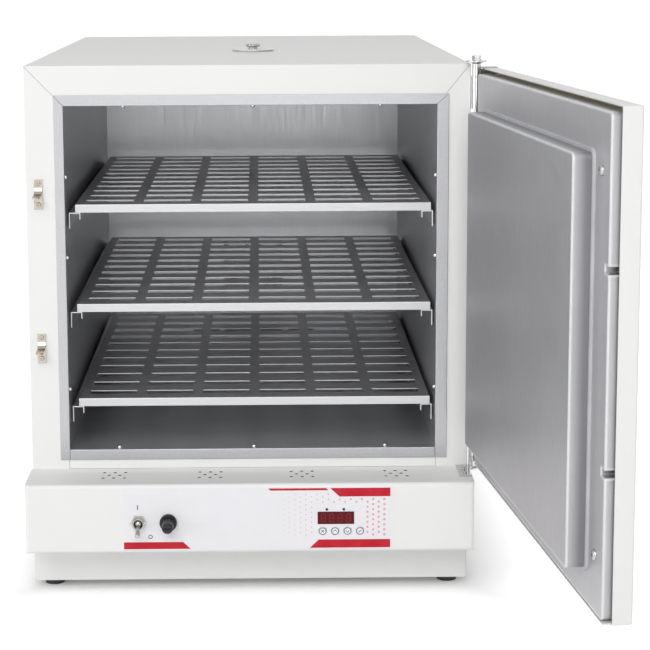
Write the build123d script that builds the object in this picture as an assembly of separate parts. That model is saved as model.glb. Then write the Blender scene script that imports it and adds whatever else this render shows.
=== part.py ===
from build123d import *
import math
import os

os.makedirs("parts", exist_ok=True)

# A bench drying oven, in millimetres. X runs to the right, Y from the front to the back, Z up.
# The casing's front is the plane Y = 0 and the feet stand on Z = 0 until everything is centred.

# Casing
WIDTH = 480.0
DEPTH = 677.0
DECK_Z = 137.5
BODY_H = 444.5
TOP_Z = DECK_Z + BODY_H
FOOT_H = 10.0
CASE_T = 1.2
BEND = 1.0
HALF = WIDTH / 2
REAR_FLANGE = 15.0
WIRING_INSET = 40.0
WIRING_MARGIN = 15.0

# Chamber: the clear opening, its depth, and the flange round its mouth
STILE_LEFT = 42.0
STILE_RIGHT = 36.0
CH_LEFT = STILE_LEFT - HALF
CH_RIGHT = HALF - STILE_RIGHT
SILL_H = 22.0
HEAD_H = 43.5
CH_LOW = DECK_Z + SILL_H
CH_HIGH = TOP_Z - HEAD_H
PLANT_DEPTH = 143.0
CH_DEPTH = DEPTH - PLANT_DEPTH
CH_T = 1.0
TRIM_LEFT = 10.4
TRIM_RIGHT = 12.6
TRIM_TALL = 11.6
TRIM_Y = 1.0
MOUTH_BEND = 0.8
SEAM = 0.3

# Shelves and the rails that carry them
SHELF_SHARES = {"upper": 0.286, "middle": 0.577, "lower": 0.857}
SHELF_TOPS = {level: CH_HIGH - share * (CH_HIGH - CH_LOW) for level, share in SHELF_SHARES.items()}
SHELF_GAP_LEFT = 9.3
SHELF_GAP_RIGHT = 4.7
SHELF_LEFT = CH_LEFT + SHELF_GAP_LEFT
SHELF_RIGHT = CH_RIGHT - SHELF_GAP_RIGHT
SHELF_FRONT = 14.0
SHELF_BEHIND = 62.0
SHELF_DEPTH = CH_DEPTH - SHELF_FRONT - SHELF_BEHIND
SHELF_T = 1.2
SHELF_LIP = 9.1
SLOT_WIDE = 16.0
SLOT_COLUMNS = 6
SLOT_ROWS = 11
SLOT_EDGE_X = 36.0
SLOT_BRIDGE = 11.2
SLOT_EDGE_FRONT = 27.0
SLOT_EDGE_BACK = 25.0
SLOT_PITCH_X = (SHELF_RIGHT - SHELF_LEFT - 2 * SLOT_EDGE_X) / (SLOT_COLUMNS - 1)
SLOT_PITCH_Y = (SHELF_DEPTH - SLOT_EDGE_FRONT - SLOT_EDGE_BACK) / (SLOT_ROWS - 1)
SLOT_LONG = SLOT_PITCH_X - SLOT_BRIDGE
SLOT_CUT = 6.0
RAIL_T = 1.2
RAIL_TALL = 17.5
RAIL_WIDE = 12.6
RAIL_LIP = 7.5
RAIL_OFFSET = 2.3
RAIL_FRONT = 14.5
RAIL_BEHIND = 39.5
RAIL_DEPTH = CH_DEPTH - RAIL_FRONT - RAIL_BEHIND
RAIL_FIXINGS = 3
RAIL_FIXING_IN = 30.0
RAIL_SPACER_LONG = 12.0
RAIL_SPACER_UP = 2.0
RAIL_SPACER_TALL = 10.0
LOOSE = 0.3

# Control box under the door, and what sits in its front
BOX_PROUD = 1.0
BOX_HALF = HALF + BOX_PROUD
BOX_FRONT = -60.6
BOX_TALL = 76.1
BOX_T = 1.2
BOX_ROUND = 4.0
VENT_GROUPS_X = (-147.6, -43.3, 56.5, 159.0)
VENT_ROWS_Y = (-15.3, -25.2, -35.1)
VENT_PITCH = 11.5
VENT_R = 2.15
PANEL_CUT = 5.0
LABEL_T = 0.5
LABEL_LEFT = -136.6
LABEL_RIGHT = 151.4
LABEL_DROP = 4.0
LABEL_TALL = 68.1
LABEL_HIGH = DECK_Z - LABEL_DROP
LABEL_LOW = LABEL_HIGH - LABEL_TALL
PANEL_BACK = BOX_FRONT + BOX_T
LABEL_FRONT = BOX_FRONT - LABEL_T
ROW_Z = DECK_Z - 41.7
TOGGLE_X = -119.7
TOGGLE_R = 6.0
TOGGLE_OUT = 7.0
TOGGLE_NUT_AF = 15.0
TOGGLE_NUT_T = 2.5
TOGGLE_BODY = (13.0, 22.0, 28.0)
TOGGLE_WALL = 0.9
PIVOT_IN = 4.0
BALL_ROOM = 5.0
LEVER_BALL_R = 3.92
LEVER_BORE_R = 4.0
LEVER_LONG = 20.0
LEVER_TILT = 28.0
LEVER_ROOT_R = 1.6
LEVER_TIP_R = 2.8
FUSE_X = -87.7
FUSE_COLLAR_R = 9.3
FUSE_R = 6.2
FUSE_CAP_R = 6.6
FUSE_CAP_END_R = 5.8
FUSE_STEM_R = 4.0
FUSE_OUT = 21.5
FUSE_FLANGE_T = 3.5
FUSE_BACK = 26.0
FUSE_STEM_IN = 5.0
FUSE_FLUTES = 12
FUSE_FLUTE = 1.3
FUSE_FLUTE_IN = 3.0
FUSE_SLOT = (8.0, 1.6, 1.5)
RUNNING = 0.05
WINDOW_LEFT = 72.4
WINDOW_RIGHT = 111.6
WINDOW_LOW = DECK_Z - 44.8
WINDOW_HIGH = DECK_Z - 31.1
WINDOW_PROUD = 0.4
KEYS = ("cancel", "up", "down", "set")
KEY_X = 77.7
KEY_PITCH = 13.4
KEY_Z = DECK_Z - 52.5
KEY_R = 4.2
KEY_COLLAR_R = 5.0
KEY_PROUD = 0.8
KEY_TRAVEL = 0.5
KEY_COLLAR_T = 0.8
UNIT_GAP = LOOSE + KEY_COLLAR_T + KEY_TRAVEL + LOOSE
UNIT_DEEP = 24.0
UNIT_MARGIN = 6.0

# Door, drawn shut and then turned open about its hinge axis
HINGE_OUT = 5.0
HINGE_X = HALF + HINGE_OUT
HINGE_Y = -6.5
DOOR_OPEN = 96.0
DOOR_INSET = 5.0
DOOR_OVER = 10.0
DOOR_UNDER_TOP = 4.4
DOOR_OVER_DECK = 6.7
DOOR_LEFT = DOOR_INSET - HALF
DOOR_RIGHT = HALF + DOOR_OVER
DOOR_LOW = DECK_Z + DOOR_OVER_DECK
DOOR_HIGH = TOP_Z - DOOR_UNDER_TOP
DOOR_FRONT = -31.7
DOOR_RIM = -13.9
DOOR_T = 1.2
DOOR_ROUND = 2.0
LINING_Y = -6.0
LINING_T = 1.0
LINING_IN_LEFT = 4.0
LINING_IN_RIGHT = 14.0
LINING_IN_LOW = 3.1
LINING_IN_HIGH = 5.6
LINING_LEFT = DOOR_LEFT + LINING_IN_LEFT
LINING_RIGHT = DOOR_RIGHT - LINING_IN_RIGHT
LINING_LOW = DOOR_LOW + LINING_IN_LOW
LINING_HIGH = DOOR_HIGH - LINING_IN_HIGH
LINING_WALL = 11.5
LINING_CORNER = 5.0
LINING_BEND = 0.7
PLUG_GAP_LEFT = 10.0
PLUG_GAP_RIGHT = 5.0
PLUG_GAP_LOW = 18.4
PLUG_GAP_HIGH = 3.6
PLUG_LEFT = CH_LEFT + PLUG_GAP_LEFT
PLUG_RIGHT = CH_RIGHT - PLUG_GAP_RIGHT
PLUG_LOW = CH_LOW + PLUG_GAP_LOW
PLUG_HIGH = CH_HIGH - PLUG_GAP_HIGH
PLUG_OUT = 19.0
PLUG_CORNER = 5.0
SEAL_WIDE = 3.0
SEAL_TALL = 2.5
NOTCH_DEEP = 23.0
NOTCH_WIDE = 10.0
NOTCH_UNDER = 3.0
NOTCH_OVER = 4.0

# Hinges, with the barrel turning on a pin
BARREL_R = 4.75
PIN_R = 2.4
LEAF_T = 1.5
LEAF_BACK = 32.0
LEAF_IN = 3.0
PIN_TAIL = 4.5
WASHER_CONE_R = 9.0
WASHER_R = 11.5
WASHER_CONE_T = 2.0
WASHER_T = 1.4
PIN_HEAD_AF = 8.5
PIN_HEAD_T = 5.2
TAB_R = 8.0
TAB_T = 1.6
TAB_LONG = 33.5
TAB_WIDE = 13.5
LONG_KNUCKLE = 34.2
SHORT_KNUCKLE = 12.0
TOP_KNUCKLE = (DOOR_HIGH - 9.2, DOOR_HIGH + LEAF_T + 2.8)
TOP_BARREL = (TOP_KNUCKLE[0] - LOOSE - LONG_KNUCKLE, TOP_KNUCKLE[0] - LOOSE)
LOW_BARREL = (DECK_Z + TAB_T, DECK_Z + TAB_T + SHORT_KNUCKLE)
LOW_KNUCKLE = (LOW_BARREL[1] + LOOSE, LOW_BARREL[1] + LOOSE + LONG_KNUCKLE)

# Spring catches on the left stile
CATCH_IN = 13.6
CATCH_X = CATCH_IN - HALF
CATCH_WIDE = 9.2
CATCH_TALL = 32.4
CATCH_SHARES = {"upper": 0.294, "lower": 0.742}
CATCH_LOWS = {level: CH_HIGH - share * (CH_HIGH - CH_LOW) for level, share in CATCH_SHARES.items()}
CATCH_T = 1.0
TONGUE_WIDE = 8.4
TONGUE_UP = 15.5
TONGUE_OUT = 25.0
TONGUE_T = 1.1
TONGUE_OVER = ((2.5, 4.5), (5.5, 1.6))
TONGUE_UNDER = ((5.5, 0.4), (1.6, 3.6))
TONGUE_ROOT = (8.0, 5.0)

# Vent on the roof
VENT_X = 5.4
VENT_Y = 272.0
VENT_TUBE_R = 22.0
VENT_DISC_R = 26.0
VENT_DISC_T = 1.2
VENT_PORT_R = 5.0
VENT_PORT_AT = 14.5
VENT_PORTS = 3
VENT_PIN_R = 2.0
KNOB_R = 8.7
KNOB_H = 6.3
KNOB_NECK_R = 5.5
KNOB_NECK_H = 2.5
KNOB_BEVEL = 1.2
VENT_WALL = 1.0

# Air circulation behind the chamber
INLET_ROWS = 7
INLET_PITCH = 12.0
INLET_LONG = 80.0
INLET_TALL = 5.0
OUTLET_COUNT = 4
OUTLET_PITCH = 44.0
OUTLET_LONG = 36.0
OUTLET_UP = 10.0
OUTLET_TALL = 8.0
FAN_X = 3.0
FAN_UP = 103.0
FAN_Z = CH_LOW + FAN_UP
FAN_R = 52.0
FAN_BLADES = 10
FAN_T = 1.2
FAN_HUB_R = 8.0
FAN_HUB_FRONT = 16.0
FAN_HUB_BACK = 4.0
BLADE_FROM = 24.0
BLADE_WIDE = 19.0
BLADE_T = 1.6
FAN_CLEAR = 12.0
DUCT_HALF = 100.0
DUCT_LOW = CH_LOW + 4.0
DUCT_OVER = 13.0
DUCT_HIGH = FAN_Z + FAN_R + DUCT_OVER
DUCT_DEEP = 50.0
DUCT_T = 1.0
DUCT_RIM = 10.0
DUCT_RIM_LOW = 3.0
SHAFT_R = 3.0
SHAFT_HOLE_R = 4.5
SHAFT_IN = 14.0
SHAFT_BORE = 15.0
MOTOR_R = 35.0
MOTOR_PLATE = 90.0
MOTOR_PLATE_T = 3.0
MOTOR_POST_IN = 8.0
MOTOR_POST = 6.0
MOTOR_GAP = 36.0
MOTOR_LONG = 43.0
HEATER_R = 4.0
HEATER_BAR = 4.0
HEATER_UP = 18.0
HEATER_PITCH = 16.0
HEATER_ZS = (CH_LOW + HEATER_UP, CH_LOW + HEATER_UP + HEATER_PITCH)

# Underside and rear
FLOOR_SLOT_ROWS = 4
FLOOR_SLOT_X = 90.0
FLOOR_SLOT_Y = 300.0
FLOOR_SLOT_PITCH = 25.0
FLOOR_SLOT = (90.0, 6.0)
REAR_SLOT_ROWS = 6
REAR_SLOT_X = 110.0
REAR_SLOT_UP = 60.0
REAR_SLOT_PITCH = 14.0
REAR_SLOT_LONG = 90.0
REAR_SLOT_TALL = 5.0
FOOT_R = 12.0
FOOT_IN = 19.5
FOOT_X = HALF - FOOT_IN
FOOT_YS = {"front": 25.0, "rear": DEPTH - 40.0}
GLAND_IN_X = 60.0
GLAND_X = HALF - GLAND_IN_X
GLAND_Z = 55.0
GLAND_AF = 24.0
GLAND_THREAD_R = 8.0
GLAND_BORE_R = 4.0
GLAND_OUT = 18.0
GLAND_IN = 12.0
GLAND_NUT = 6.0


def block(x0, x1, y0, y1, z0, z1):
    """A box between two corners."""
    centre = ((x0 + x1) / 2, (y0 + y1) / 2, (z0 + z1) / 2)
    return Pos(*centre) * Box(x1 - x0, y1 - y0, z1 - z0)


def rod(axis, at, start, end, radius, end_radius=None):
    """A round bar or cone along X, Y or Z. at holds its other two coordinates in X, Y, Z order."""
    long = end - start
    solid = Cylinder(radius, long) if end_radius is None else Cone(radius, end_radius, long)
    middle = (start + end) / 2
    if axis == "X":
        return Pos(middle, *at) * Rot(0, 90, 0) * solid
    if axis == "Y":
        return Pos(at[0], middle, at[1]) * Rot(-90, 0, 0) * solid
    return Pos(*at, middle) * solid


def prism(points, push):
    """A flat outline, given as corners in space, pushed along the vector push."""
    return extrude(make_face(Polyline(*points, close=True)), amount=Vector(*push).length, dir=push)


def sheet_xz(points, y0, y1):
    """A flat sheet facing the front, from corners in X and Z."""
    return prism([(x, y0, z) for x, z in points], (0, y1 - y0, 0))


def round_block(x0, x1, y0, y1, z0, z1, along, radius):
    """A box whose four edges along one axis are rounded."""
    solid = block(x0, x1, y0, y1, z0, z1)
    return fillet(solid.edges().filter_by(along), radius)


def slot_cutter(x, y, z, long, wide):
    """A cutter for one slot through a level sheet whose middle is near height z."""
    return Pos(x, y, z) * Box(long, wide, SLOT_CUT)


def hexagon_bar(axis, at, start, end, flats):
    """A six-sided bar along Y or Z."""
    outline = RegularPolygon(flats / 2, 6, major_radius=False)
    bar = extrude(outline, amount=end - start)
    if axis == "Y":
        return Pos(at[0], start, at[1]) * Rot(-90, 0, 0) * bar
    return Pos(*at, start) * bar


def seam_cut(x0, z0, x1, z1, y0, y1):
    """A narrow cutter along the line of a mitre."""
    run = math.hypot(x1 - x0, z1 - z0)
    nx, nz = (z0 - z1) / run * SEAM / 2, (x1 - x0) / run * SEAM / 2
    ex, ez = (x1 - x0) / run * 3, (z1 - z0) / run * 3
    ends = [
        (x0 - ex + nx, z0 - ez + nz),
        (x1 + ex + nx, z1 + ez + nz),
        (x1 + ex - nx, z1 + ez - nz),
        (x0 - ex - nx, z0 - ez - nz),
    ]
    return sheet_xz(ends, y0, y1)


def turned_open(solid):
    """A door piece drawn shut, turned to where the open door stands."""
    return solid.rotate(Axis((HINGE_X, HINGE_Y, 0), (0, 0, 1)), DOOR_OPEN)


def mitres(y0, y1):
    """Cutters for the two mitred upper corners, from the chamber's corners to the casing's."""
    out_left = (-HALF, TOP_Z)
    out_right = (HALF, TOP_Z)
    return [
        seam_cut(CH_LEFT, CH_HIGH, *out_left, y0, y1),
        seam_cut(CH_RIGHT, CH_HIGH, *out_right, y0, y1),
    ]


def casing_sides():
    """Left and right casing panels, each bent round the front to make a stile."""
    panels = {}
    for name, sign, inner in (("left", -1, CH_LEFT - CH_T), ("right", 1, CH_RIGHT + CH_T)):
        outer = sign * HALF
        inside = outer - sign * CASE_T
        side = block(*sorted((outer, inside)), 0, DEPTH, FOOT_H, TOP_Z - CASE_T)
        corner = (CH_LEFT if sign < 0 else CH_RIGHT, CH_HIGH)
        outline = [(outer, DECK_Z), (inner, DECK_Z), (inner, CH_HIGH + CH_T), corner, (outer, TOP_Z)]
        stile = sheet_xz(outline, 0, CASE_T)
        stile -= block(-HALF, HALF, 0, CASE_T, TOP_Z - CASE_T, TOP_Z)
        stile -= block(CH_LEFT - CH_T, CH_RIGHT + CH_T, 0, CASE_T, CH_LOW, CH_HIGH + CH_T)
        fold = sorted((outer, outer - sign * REAR_FLANGE))
        rear = block(*fold, DEPTH - CASE_T, DEPTH, FOOT_H, TOP_Z - CASE_T)
        panel = side + stile + rear
        for cutter in mitres(0, CASE_T):
            panel -= cutter
        front_edge = panel.edges().filter_by(Axis.Z).filter_by(lambda e: abs(e.center().Y) < 0.01)
        front_edge = front_edge.filter_by(lambda e: abs(e.center().X - outer) < 0.01)
        panels[name] = fillet(front_edge, BEND)
    return panels


def casing_top():
    """Roof with its mitred front strip and the vent's hole."""
    roof = block(-HALF, HALF, 0, DEPTH, TOP_Z - CASE_T, TOP_Z)
    outline = [(-HALF, TOP_Z), (HALF, TOP_Z), (CH_RIGHT, CH_HIGH), (CH_LEFT, CH_HIGH)]
    strip = sheet_xz(outline, 0, CASE_T)
    strip -= block(CH_LEFT - CH_T, CH_RIGHT + CH_T, 0, CASE_T, CH_LOW, CH_HIGH + CH_T)
    for cutter in mitres(0, CASE_T):
        strip -= cutter
    panel = roof + strip - rod("Z", (VENT_X, VENT_Y), TOP_Z - CASE_T, TOP_Z, VENT_TUBE_R)
    outer = panel.edges().filter_by(lambda e: e.center().Z > TOP_Z - 0.01 and e.length > HALF)
    return fillet(outer, BEND)


def deck_panel():
    """Sheet between the chamber and the base, with the strip that closes the front under the chamber."""
    plate = block(-HALF + CASE_T, HALF - CASE_T, CASE_T, DEPTH - CASE_T, DECK_Z, DECK_Z + CASE_T)
    x0, x1 = CH_LEFT - CH_T + SEAM, CH_RIGHT + CH_T - SEAM
    return plate + block(x0, x1, 0, CASE_T, DECK_Z + SEAM, CH_LOW - CH_T)


def base_front():
    """Lower front sheet, with a window behind the control box for its wiring."""
    sheet = block(-HALF + CASE_T, HALF - CASE_T, 0, CASE_T, FOOT_H, DECK_Z)
    half = HALF - WIRING_INSET
    low, high = DECK_Z - BOX_TALL + WIRING_MARGIN, DECK_Z - WIRING_MARGIN
    return sheet - block(-half, half, 0, CASE_T, low, high)


def base_floor():
    """Bottom sheet with cooling slots."""
    sheet = block(-HALF + CASE_T, HALF - CASE_T, CASE_T, DEPTH - CASE_T, FOOT_H, FOOT_H + CASE_T)
    for side in (-1, 1):
        for row in range(FLOOR_SLOT_ROWS):
            y = FLOOR_SLOT_Y + row * FLOOR_SLOT_PITCH
            sheet -= slot_cutter(side * FLOOR_SLOT_X, y, FOOT_H, *FLOOR_SLOT)
    return sheet


def rear_cover():
    """Rear sheet with folded edges, cooling slots and the gland's hole."""
    edge = HALF - REAR_FLANGE
    y0, y1 = DEPTH - CASE_T, DEPTH
    sheet = block(-edge, edge, y0, y1, FOOT_H + CASE_T, TOP_Z - CASE_T)
    top = block(-edge, edge, DEPTH - REAR_FLANGE, y1, TOP_Z - 2 * CASE_T, TOP_Z - CASE_T)
    cover = sheet + top
    for side in (-1, 1):
        for row in range(REAR_SLOT_ROWS):
            x = side * REAR_SLOT_X
            z = DECK_Z + REAR_SLOT_UP + row * REAR_SLOT_PITCH
            x0, x1 = x - REAR_SLOT_LONG / 2, x + REAR_SLOT_LONG / 2
            cover -= block(x0, x1, y0, y1, z, z + REAR_SLOT_TALL)
    return cover - rod("Y", (GLAND_X, GLAND_Z), y0, y1, GLAND_THREAD_R)


def chamber_sheets():
    """The five bent sheets of the chamber, whose front flanges make the grey frame round its mouth."""
    out_left = CH_LEFT - TRIM_LEFT
    out_right = CH_RIGHT + TRIM_RIGHT
    out_low, out_high = CH_LOW - TRIM_TALL, CH_HIGH + TRIM_TALL
    corner_left = [
        (CH_LEFT, CH_HIGH),
        (out_left, out_high),
        (out_left, out_low),
        (CH_LEFT, out_low),
    ]
    corner_right = [
        (CH_RIGHT, CH_HIGH),
        (out_right, out_high),
        (out_right, out_low),
        (CH_RIGHT, out_low),
    ]
    top_strip = [(CH_LEFT, CH_HIGH), (out_left, out_high), (out_right, out_high), (CH_RIGHT, CH_HIGH)]
    cuts = [
        seam_cut(CH_LEFT, CH_HIGH, out_left, out_high, -TRIM_Y, 0),
        seam_cut(CH_RIGHT, CH_HIGH, out_right, out_high, -TRIM_Y, 0),
    ]
    left = block(CH_LEFT - CH_T, CH_LEFT, -TRIM_Y, CH_DEPTH, CH_LOW - CH_T, CH_HIGH)
    left += sheet_xz(corner_left, -TRIM_Y, 0)
    right = block(CH_RIGHT, CH_RIGHT + CH_T, -TRIM_Y, CH_DEPTH, CH_LOW - CH_T, CH_HIGH)
    right += sheet_xz(corner_right, -TRIM_Y, 0)
    top = block(CH_LEFT - CH_T, CH_RIGHT + CH_T, 0, CH_DEPTH, CH_HIGH, CH_HIGH + CH_T)
    top += sheet_xz(top_strip, -TRIM_Y, 0)
    top -= rod("Z", (VENT_X, VENT_Y), CH_HIGH, CH_HIGH + CH_T, VENT_TUBE_R)
    for cutter in cuts:
        left -= cutter
        right -= cutter
        top -= cutter
    floor = block(CH_LEFT, CH_RIGHT, -TRIM_Y, CH_DEPTH, CH_LOW - CH_T, CH_LOW)
    floor += block(CH_LEFT + SEAM, CH_RIGHT - SEAM, -TRIM_Y, 0, out_low, CH_LOW)
    y0, y1 = CH_DEPTH, CH_DEPTH + CH_T
    back = block(CH_LEFT - CH_T, CH_RIGHT + CH_T, y0, y1, CH_LOW - CH_T, CH_HIGH + CH_T)
    for row in range(INLET_ROWS):
        z = FAN_Z + (row - (INLET_ROWS - 1) / 2) * INLET_PITCH
        x0, x1 = FAN_X - INLET_LONG / 2, FAN_X + INLET_LONG / 2
        back -= block(x0, x1, y0, y1, z - INLET_TALL / 2, z + INLET_TALL / 2)
    for column in range(OUTLET_COUNT):
        x = FAN_X + (column - (OUTLET_COUNT - 1) / 2) * OUTLET_PITCH
        x0, x1 = x - OUTLET_LONG / 2, x + OUTLET_LONG / 2
        back -= block(x0, x1, y0, y1, CH_LOW + OUTLET_UP, CH_LOW + OUTLET_UP + OUTLET_TALL)
    return {"left": left, "right": right, "top": top, "floor": floor, "back": back}


def softened_mouth(sheets):
    """Rounds the bends where the chamber's walls turn outwards into its front flanges."""
    places = {
        "left": (Axis.Z, lambda c: abs(c.X - CH_LEFT) < 0.01),
        "right": (Axis.Z, lambda c: abs(c.X - CH_RIGHT) < 0.01),
        "top": (Axis.X, lambda c: abs(c.Z - CH_HIGH) < 0.01),
        "floor": (Axis.X, lambda c: abs(c.Z - CH_LOW) < 0.01),
    }
    for name, (along, at_bend) in places.items():
        edges = sheets[name].edges().filter_by(along)
        edges = edges.filter_by(lambda e: abs(e.center().Y + TRIM_Y) < 0.01 and at_bend(e.center()))
        edges = edges.filter_by(lambda e: e.length > HALF)
        sheets[name] = fillet(edges, MOUTH_BEND)
    return sheets


def shelf(top_z):
    """Slotted sheet shelf with a lip turned down on all four sides."""
    x0, x1 = SHELF_LEFT, SHELF_RIGHT
    y0, y1 = SHELF_FRONT, SHELF_FRONT + SHELF_DEPTH
    tray = block(x0, x1, y0, y1, top_z - SHELF_LIP, top_z)
    tray = fillet(tray.edges().filter_by(lambda e: e.center().Z > top_z - 0.01), BEND)
    t = SHELF_T
    tray -= block(x0 + t, x1 - t, y0 + t, y1 - t, top_z - SHELF_LIP, top_z - t)
    first_x, first_y = x0 + SLOT_EDGE_X, y0 + SLOT_EDGE_FRONT
    cutters = []
    for column in range(SLOT_COLUMNS):
        for row in range(SLOT_ROWS):
            place = (first_x + column * SLOT_PITCH_X, first_y + row * SLOT_PITCH_Y, top_z)
            cutters.append(slot_cutter(*place, SLOT_LONG, SLOT_WIDE))
    return tray - cutters


def rail(wall_x, sign, shelf_top):
    """Bent rail standing off one wall; sign points into the chamber."""
    top = shelf_top - SHELF_LIP
    y0, y1 = RAIL_FRONT, RAIL_FRONT + RAIL_DEPTH
    near = wall_x + sign * RAIL_OFFSET
    far = near + sign * RAIL_WIDE
    leg = block(*sorted((near, near + sign * RAIL_T)), y0, y1, top - RAIL_TALL, top)
    flange = block(*sorted((near, far)), y0, y1, top - RAIL_T, top)
    lip = block(*sorted((far, far - sign * RAIL_T)), y0, y1, top - RAIL_LIP, top)
    solid = leg + flange + lip
    pitch = (RAIL_DEPTH - 2 * RAIL_FIXING_IN) / (RAIL_FIXINGS - 1)
    low = top - RAIL_TALL + RAIL_SPACER_UP
    for i in range(RAIL_FIXINGS):
        front = y0 + RAIL_FIXING_IN + i * pitch - RAIL_SPACER_LONG / 2
        ends = (front, front + RAIL_SPACER_LONG, low, low + RAIL_SPACER_TALL)
        solid += block(*sorted((wall_x, near)), *ends)
    return solid


def chamber_wool():
    """Mineral wool packed between the chamber and the casing, as one sleeve."""
    y0, y1 = CASE_T, CH_DEPTH
    low = DECK_Z + CASE_T
    wool = block(-HALF + CASE_T, HALF - CASE_T, y0, y1, low, TOP_Z - CASE_T)
    wool -= block(CH_LEFT - CH_T, CH_RIGHT + CH_T, y0, y1, CH_LOW - CH_T, CH_HIGH + CH_T)
    return wool - rod("Z", (VENT_X, VENT_Y), CH_HIGH, TOP_Z, VENT_TUBE_R)


def fan_duct():
    """Sheet duct behind the chamber's back wall, open towards it."""
    y0 = CH_DEPTH + CH_T
    y1 = y0 + DUCT_DEEP
    x0, x1 = FAN_X - DUCT_HALF, FAN_X + DUCT_HALF
    t = DUCT_T
    rim_z = (DUCT_LOW - DUCT_RIM_LOW, DUCT_HIGH + DUCT_RIM)
    duct = block(x0, x1, y0, y1, DUCT_LOW, DUCT_HIGH)
    duct += block(x0 - DUCT_RIM, x1 + DUCT_RIM, y0, y0 + t, *rim_z)
    duct -= block(x0 + t, x1 - t, y0, y1 - t, DUCT_LOW + t, DUCT_HIGH - t)
    return duct - rod("Y", (FAN_X, FAN_Z), y1 - t, y1, SHAFT_HOLE_R)


def fan_wheel():
    """Radial fan wheel on its shaft."""
    at = (FAN_X, FAN_Z)
    back = CH_DEPTH + CH_T + DUCT_DEEP - FAN_CLEAR
    face = back - FAN_T
    wheel = rod("Y", at, face, back, FAN_R)
    wheel += rod("Y", at, back - FAN_HUB_FRONT, back + FAN_HUB_BACK, FAN_HUB_R)
    blade = block(BLADE_FROM, FAN_R, face - BLADE_WIDE, face, -BLADE_T / 2, BLADE_T / 2)
    for i in range(FAN_BLADES):
        wheel += Pos(FAN_X, 0, FAN_Z) * Rot(0, 360.0 / FAN_BLADES * i, 0) * blade
    return wheel + rod("Y", at, back, motor_front() + SHAFT_IN, SHAFT_R)


def motor_front():
    """Where the motor's mounting plate begins."""
    return CH_DEPTH + CH_T + DUCT_DEEP + MOTOR_GAP


def fan_motor():
    """Fan motor on a square plate with four posts to the duct."""
    y0 = motor_front()
    half = MOTOR_PLATE / 2
    y1 = y0 + MOTOR_PLATE_T
    motor = block(FAN_X - half, FAN_X + half, y0, y1, FAN_Z - half, FAN_Z + half)
    motor += rod("Y", (FAN_X, FAN_Z), y1, y1 + MOTOR_LONG, MOTOR_R)
    inset = half - MOTOR_POST_IN
    for sx in (-1, 1):
        for sz in (-1, 1):
            place = Pos(FAN_X + sx * inset, y0 - MOTOR_GAP / 2, FAN_Z + sz * inset)
            motor += place * Box(MOTOR_POST, MOTOR_GAP, MOTOR_POST)
    return motor - rod("Y", (FAN_X, FAN_Z), y0, y0 + SHAFT_BORE, SHAFT_R + RUNNING)


def heater():
    """Two straight tubular elements across the duct, joined by a bar at one end."""
    y = CH_DEPTH + CH_T + DUCT_DEEP / 2
    x0, x1 = FAN_X - DUCT_HALF + DUCT_T, FAN_X + DUCT_HALF - DUCT_T
    low, high = HEATER_ZS[0] - HEATER_R, HEATER_ZS[1] + HEATER_R
    element = block(x0, x0 + HEATER_BAR, y - HEATER_R, y + HEATER_R, low, high)
    for z in HEATER_ZS:
        element += rod("X", (y, z), x0, x1, HEATER_R)
    return element


def panel_holes():
    """Everything that is cut through both the control box's front and its label plate."""
    y0, y1 = LABEL_FRONT, PANEL_BACK
    cutters = [
        rod("Y", (TOGGLE_X, ROW_Z), y0, y1, TOGGLE_R),
        rod("Y", (FUSE_X, ROW_Z), y0, y1, FUSE_R),
        block(WINDOW_LEFT, WINDOW_RIGHT, y0, y1, WINDOW_LOW, WINDOW_HIGH),
    ]
    for i in range(len(KEYS)):
        cutters.append(rod("Y", (KEY_X + i * KEY_PITCH, KEY_Z), y0, y1, KEY_R + LOOSE))
    return cutters


def control_box():
    """Bent sheet box in front of the base, with groups of vent holes in its top."""
    low = DECK_Z - BOX_TALL
    outer = block(-BOX_HALF, BOX_HALF, BOX_FRONT, 0, low, DECK_Z)
    front = outer.edges().filter_by(lambda e: abs(e.center().Y - BOX_FRONT) < 0.01)
    outer = fillet(front, BOX_ROUND)
    t = BOX_T
    inner = block(-BOX_HALF + t, BOX_HALF - t, BOX_FRONT + t, 0, low + t, DECK_Z - t)
    front = inner.edges().filter_by(lambda e: abs(e.center().Y - BOX_FRONT - t) < 0.01)
    box = outer - chamfer(front, BOX_ROUND - t)
    for x in VENT_GROUPS_X:
        for row, y in enumerate(VENT_ROWS_Y):
            count = 2 if row == 1 else 3
            for i in range(count):
                at = (x + (i - (count - 1) / 2) * VENT_PITCH, y)
                box -= Pos(*at, DECK_Z - PANEL_CUT) * extrude(RegularPolygon(VENT_R, 6), amount=PANEL_CUT)
    return box - panel_holes()


def label_plate():
    """Thin printed plate on the control box."""
    plate = round_block(
        LABEL_LEFT, LABEL_RIGHT, LABEL_FRONT, BOX_FRONT, LABEL_LOW, LABEL_HIGH, Axis.Y, 2.0
    )
    return plate - panel_holes()


def display_unit():
    """Temperature controller behind the panel, with a boss up to its window."""
    front = PANEL_BACK + UNIT_GAP
    x0, x1 = WINDOW_LEFT - UNIT_MARGIN, KEY_X + (len(KEYS) - 1) * KEY_PITCH + UNIT_MARGIN
    z0, z1 = KEY_Z - KEY_R - UNIT_MARGIN, WINDOW_HIGH + UNIT_MARGIN
    unit = block(x0, x1, front, front + UNIT_DEEP, z0, z1)
    return unit + block(WINDOW_LEFT, WINDOW_RIGHT, PANEL_BACK, front, WINDOW_LOW, WINDOW_HIGH)


def display_window():
    """Dark window that stands just proud of the label."""
    front = LABEL_FRONT - WINDOW_PROUD
    return block(WINDOW_LEFT, WINDOW_RIGHT, front, PANEL_BACK, WINDOW_LOW, WINDOW_HIGH)


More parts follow.
